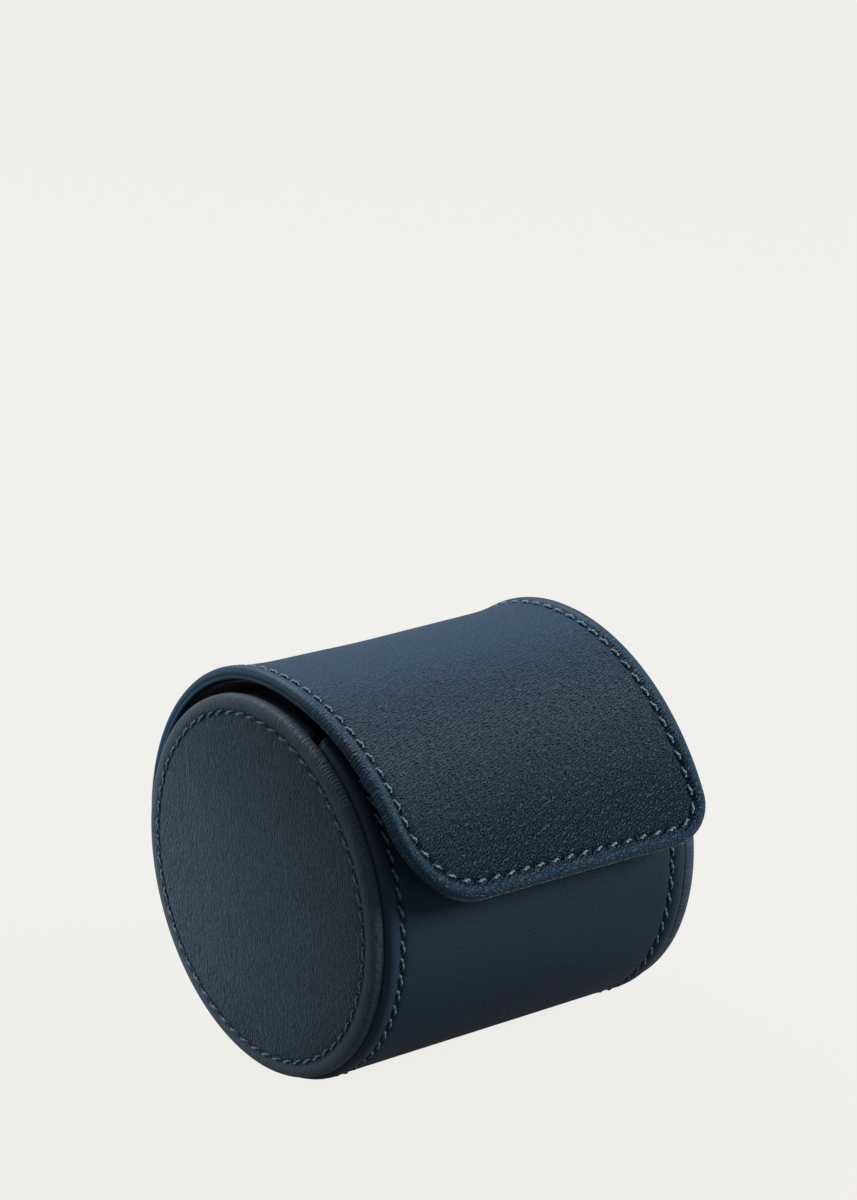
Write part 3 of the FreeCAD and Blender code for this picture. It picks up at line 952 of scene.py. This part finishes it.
def leather_finish(name, body, crease, turn, depth, shade_and_tone_contrast, shine, ripple_break=4.0, taut=None):
    """Fine creased calf leather, with painted shade in its creases, needle holes and seam groove and a
    painted highlight on its ridges; its rubbed beads are paler, partly from wear and partly from painted
    sheen.
    crease is the length and width of one crease, and taut the stretch of the cut over which the
    creases grow to full depth."""
    finish = Finish(name)
    cut = finish.node("ShaderNodeUVMap", {"uv_map": "cut"})
    drift = finish.flat_noise(cut, scale=60.0, detail=2.0, output=1)
    swayed = finish.node("ShaderNodeMix", {"data_type": "VECTOR"}, 1, i0=CREASE_SWAY, i4=cut, i5=drift)
    creases = finish.node(
        "ShaderNodeMapping", {"vector_type": "TEXTURE"}, Vector=swayed, Rotation=(0, 0, turn),
        Scale=(crease[0] * CUT_SCALE, crease[1] * CUT_SCALE, 1))
    ripples = finish.node(
        "ShaderNodeTexWave", {"bands_direction": "Y"}, 1, Vector=creases, Scale=BAND_SCALE,
        Distortion=ripple_break, Detail=1.0, Detail_Scale=2.4)
    fine = finish.flat_noise(creases, scale=1.2, detail=2.0)
    patches = finish.flat_noise(cut, scale=11.0, detail=3.0) - 0.5
    ridges = ripples * RIPPLE_SHARE + fine * FINE_SHARE - (RIPPLE_SHARE + FINE_SHARE) / 2
    if taut:
        along = finish.node("ShaderNodeSeparateXYZ", None, 1, Vector=cut)
        slack = finish.clamp(along, taut[0] * CUT_SCALE, taut[1] * CUT_SCALE)
        ridges = ridges * (TAUT_SHARE + slack * (1 - TAUT_SHARE))
    rub_and_sheen = finish.mark("rub_and_sheen")
    ridges = ridges * (1 - rub_and_sheen * RUBBED_FLAT)
    normal = finish.node("ShaderNodeBump", Strength=1.0, Distance=depth, Height=ridges)
    # Painted shade darkens the creases and a painted highlight with grey sheen lightens the ridges;
    # random patches shift the tone as well.
    crease_shade = tuple(part * (1 - shade_and_tone_contrast) * tint for part, tint in zip(body, CREASE_SHADE_TINT)) + (1.0,)
    pale = tuple(part * (1 + shade_and_tone_contrast) + PAINTED_SHEEN * shade_and_tone_contrast for part in body[:3]) + (1.0,)
    worn_and_sheen = tuple(part * RUBBED_SHEEN_GAIN + PAINTED_SHEEN for part in body[:3]) + (1.0,)
    tone = finish.clamp(ridges + patches * PATCH_SHARE, -TONE_REACH, TONE_REACH)
    base = finish.mix(tone, crease_shade, pale)
    # Rubbed beads paler, partly from wear and partly from painted sheen.
    base = finish.mix(rub_and_sheen * RUBBED_SHEEN_SHARE, base, worn_and_sheen)
    # Painted shade in the needle holes and along the seam's groove.
    base = finish.mix(finish.mark("hole"), base, NEEDLE_HOLE_SHADE)
    base = finish.mix(finish.mark("raw"), base, RAW_EDGE)
    roughness = LEATHER_ROUGHNESS + patches * 0.1 - rub_and_sheen * 0.05
    return finish.done(finish.surface(
        Base_Color=base, Roughness=roughness, Normal=normal, Specular_IOR_Level=shine))


def thread_finish(name, dark, pale):
    finish = Finish(name)
    place = finish.place()
    fibre = finish.noise(place, scale=2600.0, detail=2.0)
    base = finish.mix(finish.clamp(fibre, 0.3, 0.7), dark, pale)
    normal = finish.node("ShaderNodeBump", Strength=0.6, Distance=0.08 * MM, Height=fibre)
    return finish.done(finish.surface(
        Base_Color=base, Roughness=0.6, Normal=normal, Specular_IOR_Level=0.3))


def suede_finish(name, dark, pale, sheen):
    """Short nap that lies in strokes of slightly different tone."""
    finish = Finish(name)
    place = finish.place()
    nap = finish.noise(place, scale=1900.0, detail=2.0)
    strokes = finish.noise(place, scale=85.0, detail=3.0)
    tone = finish.clamp(strokes * 0.7 + nap * 0.5, 0.35, 0.85)
    normal = finish.node("ShaderNodeBump", Strength=0.8, Distance=0.12 * MM, Height=nap)
    return finish.done(finish.surface(
        Base_Color=finish.mix(tone, dark, pale), Roughness=0.92, Normal=normal, Sheen_Weight=sheen,
        Sheen_Roughness=0.45, Specular_IOR_Level=0.15))


def board_finish():
    finish = Finish("pressed_board")
    place = finish.place()
    fibres = finish.noise(place, scale=900.0, detail=4.0)
    base = finish.mix(fibres, colour(122, 112, 98), colour(170, 160, 143))
    normal = finish.node("ShaderNodeBump", Strength=0.5, Distance=0.1 * MM, Height=fibres)
    return finish.done(finish.surface(Base_Color=base, Roughness=0.9, Normal=normal))


def metal_finish(name, tone, roughness):
    finish = Finish(name)
    place = finish.place()
    marks = finish.noise(place, scale=1400.0, detail=3.0)
    return finish.done(finish.surface(
        Base_Color=finish.mix(marks * 0.4, tone, METAL_SMEAR), Roughness=roughness + marks * 0.12,
        Metallic=1.0))


FLAP_LEATHER = leather_finish(
    "navy_leather_flap", colour(24, 50, 67), crease=(0.8 * MM, 0.74 * MM), turn=math.radians(-20),
    depth=1.3 * MM, shade_and_tone_contrast=0.34, shine=0.11, ripple_break=4.5,
    taut=(TOP_ALONG + 8 * MM, TOP_ALONG + 28 * MM))
BARREL_LEATHER = leather_finish(
    "navy_leather_barrel", colour(33, 46, 56), crease=(1.0 * MM, 0.55 * MM), turn=0.25,
    depth=0.04 * MM, shade_and_tone_contrast=0.06, shine=0.07)
# Painted light: the ends' copy of the navy leather is paler and greyer than the flap's, standing in for
# the light and sheen that the ends catch.
END_LEATHER_PAINTED_LIGHT = leather_finish(
    "navy_leather_end_painted_light", colour(48, 61, 70), crease=(0.75 * MM, 0.62 * MM), turn=1.45,
    depth=0.4 * MM, shade_and_tone_contrast=0.5, shine=0.1, ripple_break=4.5)
FLAP_THREAD = thread_finish("waxed_thread_flap", colour(42, 66, 84), colour(116, 146, 166))
SIDE_THREAD = thread_finish("waxed_thread_sides", colour(38, 58, 72), colour(88, 112, 128))
LINING_SUEDE = suede_finish("lining_suede_dark", colour(11, 13, 17), colour(28, 31, 37), 0.1)
CUSHION_SUEDE = suede_finish("cushion_suede_dark", colour(24, 25, 29), colour(52, 53, 58), 0.35)
BOARD = board_finish()
MAGNET_METAL = metal_finish("nickel_magnet", colour(206, 204, 198), 0.28)
KEEPER_METAL = metal_finish("keeper_steel", colour(176, 178, 180), 0.4)


# Stitching

FLAP_STITCH = 0.54 * STITCH_PITCH  # what shows of each stitch between its holes
SIDE_STITCH = 0.78 * STITCH_PITCH
STITCH_SLANT = math.radians(17)
STITCH_WAVER = 0.07
STITCH_DIP = 0.34 * MM
THREAD_RADIUS = 0.45 * MM
PLY_TWIST = 7.0
GROOVE = -0.2 * MM          # height of the thread's ends under the leather's face
FACING_RISE = 0.5 * MM      # over which a row's outward direction is measured


def stitch_tree():
    """Geometry nodes that lay twisted stitches along a sewn row."""
    tree = bpy.data.node_groups.new("stitch_row", "GeometryNodeTree")
    labels = {
        "Row": "Geometry", "Stitches": "Int", "Stitch Length": "Float", "Thread Radius": "Float",
        "Ply Twist": "Float", "Dip": "Float", "Slant": "Float", "Unevenness": "Float", "Seed": "Int",
        "Thread": "Material"}
    for label, kind in labels.items():
        tree.interface.new_socket(label, in_out="INPUT", socket_type="NodeSocket" + kind)
    tree.interface.new_socket("Stitching", in_out="OUTPUT", socket_type="NodeSocketGeometry")
    writer = NodeWriter(tree)
    add = writer.node
    given = tree.nodes.new("NodeGroupInput").outputs
    sizes = {label: Wire(writer, given[label]) for label in labels}

    row = add("GeometryNodeMeshToCurve", i0=sizes["Row"])
    places = add("GeometryNodeResampleCurve", {"mode": "COUNT"}, i0=row, Count=sizes["Stitches"])
    half = sizes["Stitch Length"] * 0.5
    dip = sizes["Dip"]
    arm = add(
        "GeometryNodeCurvePrimitiveBezierSegment", Resolution=7,
        Start=add("ShaderNodeCombineXYZ", X=half * -1.0, Z=dip * -1.0),
        Start_Handle=add("ShaderNodeCombineXYZ", X=half * -0.8, Z=dip),
        End_Handle=add("ShaderNodeCombineXYZ", X=half * 0.8, Z=dip),
        End=add("ShaderNodeCombineXYZ", X=half, Z=dip * -1.0))
    arm = add("GeometryNodeResampleCurve", {"mode": "COUNT"}, i0=arm, Count=8)
    twist = add("GeometryNodeSplineParameter") * sizes["Ply Twist"]
    arm = add("GeometryNodeSetCurveTilt", i0=arm, Tilt=twist)
    plies = add("GeometryNodeCurvePrimitiveCircle", Resolution=6, Radius=sizes["Thread Radius"])
    plies = add("GeometryNodeTransform", i0=plies, Scale=(1.0, 0.58, 1.0))
    stitch = add("GeometryNodeCurveToMesh", Curve=arm, Profile_Curve=plies, Fill_Caps=True)

    facing = add("GeometryNodeInputNamedAttribute", {"data_type": "FLOAT_VECTOR"}, Name="facing")
    turn = add(
        "FunctionNodeAlignRotationToVector", {"axis": "X"}, Vector=add("GeometryNodeInputTangent"))
    turn = add(
        "FunctionNodeAlignRotationToVector", {"axis": "Z", "pivot_axis": "X"},
        Rotation=turn, Vector=facing)
    waver = add(
        "FunctionNodeRandomValue", {"data_type": "FLOAT"}, 1, i2=sizes["Unevenness"] * -1.0,
        i3=sizes["Unevenness"], Seed=sizes["Seed"])
    slant = add("ShaderNodeCombineXYZ", Z=sizes["Slant"] + waver)
    turn = add(
        "FunctionNodeRotateRotation", {"rotation_space": "LOCAL"}, i0=turn,
        i1=add("FunctionNodeEulerToRotation", i0=slant))
    laid = add("GeometryNodeInstanceOnPoints", Points=places, Instance=stitch, Rotation=turn)
    laid = add("GeometryNodeRealizeInstances", i0=laid)
    laid = add("GeometryNodeSetMaterial", i0=laid, Material=sizes["Thread"])
    writer.end("NodeGroupOutput", laid)
    return tree


STITCH_TREE = stitch_tree()


def stitching(name, ring, inset, place, thread, seed, length):
    """Thread of one sewn row at an inset of a plate, with stitches that span its needle holes."""
    flat = np.roll(ring(inset), -(POINTS_PER_STITCH // 2), axis=0)
    count = len(flat)
    points = place(flat, np.full(count, GROOVE))
    facing = place(flat, np.full(count, GROOVE + FACING_RISE)) - points
    facing /= np.maximum(np.linalg.norm(facing, axis=1, keepdims=True), TINY)
    mesh = bpy.data.meshes.new(name)
    mesh.from_pydata(points.tolist(), [(k, (k + 1) % count) for k in range(count)], [])
    way = mesh.attributes.new("facing", "FLOAT_VECTOR", "POINT")
    way.data.foreach_set("vector", facing.astype(np.float32).ravel())
    piece = linked(name, mesh)
    sewing = piece.modifiers.new("sewing", "NODES")
    sewing.node_group = STITCH_TREE
    sizes = {
        "Stitches": count // POINTS_PER_STITCH, "Stitch Length": length,
        "Thread Radius": THREAD_RADIUS, "Ply Twist": PLY_TWIST, "Dip": STITCH_DIP,
        "Slant": STITCH_SLANT, "Unevenness": STITCH_WAVER, "Seed": seed, "Thread": thread}
    for socket in STITCH_TREE.interface.items_tree:
        if socket.in_out == "INPUT" and socket.name in sizes:
            sewing[socket.identifier] = sizes[socket.name]
    applied(piece)
    spots = coordinates(piece.data)
    spots[:, 2] = np.maximum(spots[:, 2], 0)
    piece.data.vertices.foreach_set("co", spots.ravel())
    piece.data.shade_smooth()
    return piece


def set_finish(piece, material):
    piece.data.materials.clear()
    piece.data.materials.append(material)


# The roll's pieces

flap_cover, flap_ring = flap_cover_piece()
flap_stiffener = flap_stiffener_piece()
tail_stiffener = tail_stiffener_piece()
magnets = [flap_magnet_piece("flap_magnet_" + word, side) for word, side in SIDES.items()]
flap_lining = flap_lining_piece()
barrel_cover, barrel_ring = barrel_cover_piece()
barrel_stiffener = barrel_stiffener_piece()
barrel_lining = barrel_lining_piece()
end_covers, end_rings = zip(*[
    end_cover_piece(word + "_end_cover", side) for word, side in SIDES.items()])
end_linings = [end_lining_piece(word + "_end_lining_suede", side) for word, side in SIDES.items()]
hems = [mouth_hem_piece(word + "_mouth_hem", side) for word, side in SIDES.items()]
cushion = cushion_piece()
cushion_piping = cushion_piping_piece()
flap_thread = stitching("flap_thread", flap_ring, FLAP_MARGIN, on_flap, FLAP_THREAD, 11, FLAP_STITCH)
barrel_thread = stitching(
    "barrel_thread", barrel_ring, BARREL_MARGIN, on_barrel, SIDE_THREAD, 12, SIDE_STITCH)
end_threads = [
    stitching(word + "_end_thread", ring, END_MARGIN, on_end(side), SIDE_THREAD, seed, SIDE_STITCH)
    for (word, side), ring, seed in zip(SIDES.items(), end_rings, (13, 14))]

FINISHES = (
    (FLAP_LEATHER, "navy_leather", [flap_cover]),
    (BARREL_LEATHER, "navy_leather", [barrel_cover, *hems]),
    (END_LEATHER_PAINTED_LIGHT, "navy_leather", end_covers),
    (BOARD, "board", [flap_stiffener, tail_stiffener, barrel_stiffener]),
    (MAGNET_METAL, "magnet", magnets),
    (LINING_SUEDE, "lining_suede", [flap_lining, barrel_lining, *end_linings]),
    (CUSHION_SUEDE, "cushion_suede", [cushion, cushion_piping]),
)
for material, slot, pieces in FINISHES:
    for piece in pieces:
        set_finish(piece, material)
for node in ("left_end_board", "right_end_board"):
    set_finish(frame["nodes"][node], BOARD)
set_finish(frame["nodes"]["front_keepers"], KEEPER_METAL)

for piece in (flap_cover, flap_thread, flap_lining):
    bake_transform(piece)
RIDERS = {
    "flap": [flap_stiffener, *magnets],
    "case": [
        tail_stiffener, barrel_cover, barrel_stiffener, barrel_lining, *end_covers, *end_linings, *hems,
        barrel_thread, *end_threads],
    "cushion": [cushion, cushion_piping],
}
for body, pieces in RIDERS.items():
    for piece in pieces:
        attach(piece, body)

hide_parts("flap_leather", "hinge_leather", "tail_leather")
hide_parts("flap_board")
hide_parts("tail_board")
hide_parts("flap_magnets")
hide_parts("flap_lining", "hinge_lining")
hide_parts("body_leather")
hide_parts("body_board")
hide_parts("body_lining")
for word, cover, lining in zip(SIDES, end_covers, end_linings):
    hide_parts(word + "_end_leather")
    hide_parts(word + "_end_lining")
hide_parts("cushion_cover", "cushion_left_end", "cushion_right_end", "cushion_foam")


# Stage, light and camera

BACKDROP = colour(241, 240, 236)
FLOOR_SHADE = (0.22, 0.22, 0.217, 1.0)
FLOOR_GLOW = 0.98
FLOOR_GLOW_SHARE = 0.975    # the rest of the floor takes the real shadow
FLOOR_GLOSS = 0.15          # what glossy leather sees of the glow
ROOM_TINT = (0.95, 0.98, 1.0, 1.0)
ROOM_LIGHT = 0.26
ROOM_GLOSS = 0.4            # what glossy leather sees of the backdrop


def floor_finish():
    """Pale floor: the camera sees the backdrop's colour with a part of the real shadow."""
    finish = Finish("pale_floor")
    camera_ray = finish.node("ShaderNodeLightPath", None, "Is Camera Ray")
    glossy_ray = finish.node("ShaderNodeLightPath", None, "Is Glossy Ray")
    clear_ray = finish.node("ShaderNodeLightPath", None, "Is Transmission Ray")
    shadow = finish.node("ShaderNodeBsdfDiffuse", Color=BACKDROP)
    glow = finish.node("ShaderNodeEmission", Color=BACKDROP, Strength=FLOOR_GLOW)
    pale = finish.node("ShaderNodeMixShader", Fac=FLOOR_GLOW_SHARE, i1=shadow, i2=glow)
    plain = finish.node("ShaderNodeBsdfDiffuse", Color=FLOOR_SHADE)
    share = camera_ray + clear_ray + glossy_ray * FLOOR_GLOSS
    return finish.done(finish.node("ShaderNodeMixShader", Fac=share, i1=plain, i2=pale))


def floor():
    half = 4.0
    mesh = bpy.data.meshes.new("floor")
    mesh.from_pydata(
        [(-half, -half, 0), (half, -half, 0), (half, half, 0), (-half, half, 0)], [], [(0, 1, 2, 3)])
    piece = linked("floor", mesh)
    set_finish(piece, floor_finish())


def hang_lamp(light, place, aim):
    holder = linked(light.name, light)
    holder.visible_camera = False
    holder.location = place
    holder.rotation_euler = (Vector(aim) - Vector(place)).to_track_quat("-Z", "Y").to_euler()


def softbox(name, place, aim, size, power):
    """Round soft lamp."""
    light = bpy.data.lights.new(name, "AREA")
    light.shape = "DISK"
    light.size = size
    light.energy = power
    hang_lamp(light, place, aim)


def beam(name, place, aim, cone, power):
    """Round beam that fades towards its edge."""
    light = bpy.data.lights.new(name, "SPOT")
    light.spot_size = math.radians(cone)
    light.spot_blend = 1.0
    light.shadow_soft_size = 0.06
    light.energy = power
    hang_lamp(light, place, aim)


def world():
    """Even room light, with the backdrop's colour where the camera looks past the floor."""
    made = bpy.data.worlds.new("studio")
    made.use_nodes = True
    writer = NodeWriter(made.node_tree)
    camera_ray = writer.node("ShaderNodeLightPath", None, "Is Camera Ray")
    glossy_ray = writer.node("ShaderNodeLightPath", None, "Is Glossy Ray")
    backdrop = writer.node("ShaderNodeBackground", Color=BACKDROP)
    room = writer.node("ShaderNodeBackground", Color=ROOM_TINT, Strength=ROOM_LIGHT)
    share = glossy_ray * ROOM_GLOSS + camera_ray
    lit = writer.node("ShaderNodeMixShader", Fac=share, i1=room, i2=backdrop)
    writer.end("ShaderNodeOutputWorld", lit)
    bpy.context.scene.world = made


def camera():
    """Looks at the left end and the front from a little above."""
    place = Vector((-0.5564, -0.7496, 0.43))
    back = Vector((-0.56358, -0.75581, 0.33347))
    right = Vector((0.8017, -0.5978, 0.0))
    up = back.cross(right)
    lens = bpy.data.cameras.new("camera")
    lens.sensor_width = 36.0
    lens.lens = 136.27
    lens.clip_start = 0.05
    turn = Matrix((right, up, back)).transposed()
    holder = linked("camera", lens)
    holder.matrix_world = Matrix.Translation(place) @ turn.to_4x4()
    bpy.context.scene.camera = holder


floor()
softbox("top_softbox", place=(0.1, 0.68, 1.0), aim=(0, 0, 0.05), size=0.7, power=17.0)
softbox("front_softbox", place=(0.8, -0.5, 0.42), aim=(0, 0, 0.04), size=0.45, power=14.5)
beam("left_beam", place=(-0.35, 0.3, 0.12), aim=(-0.045, 0.07, 0.035), cone=20, power=19.0)
world()
camera()
bpy.context.scene.view_settings.view_transform = "Standard"
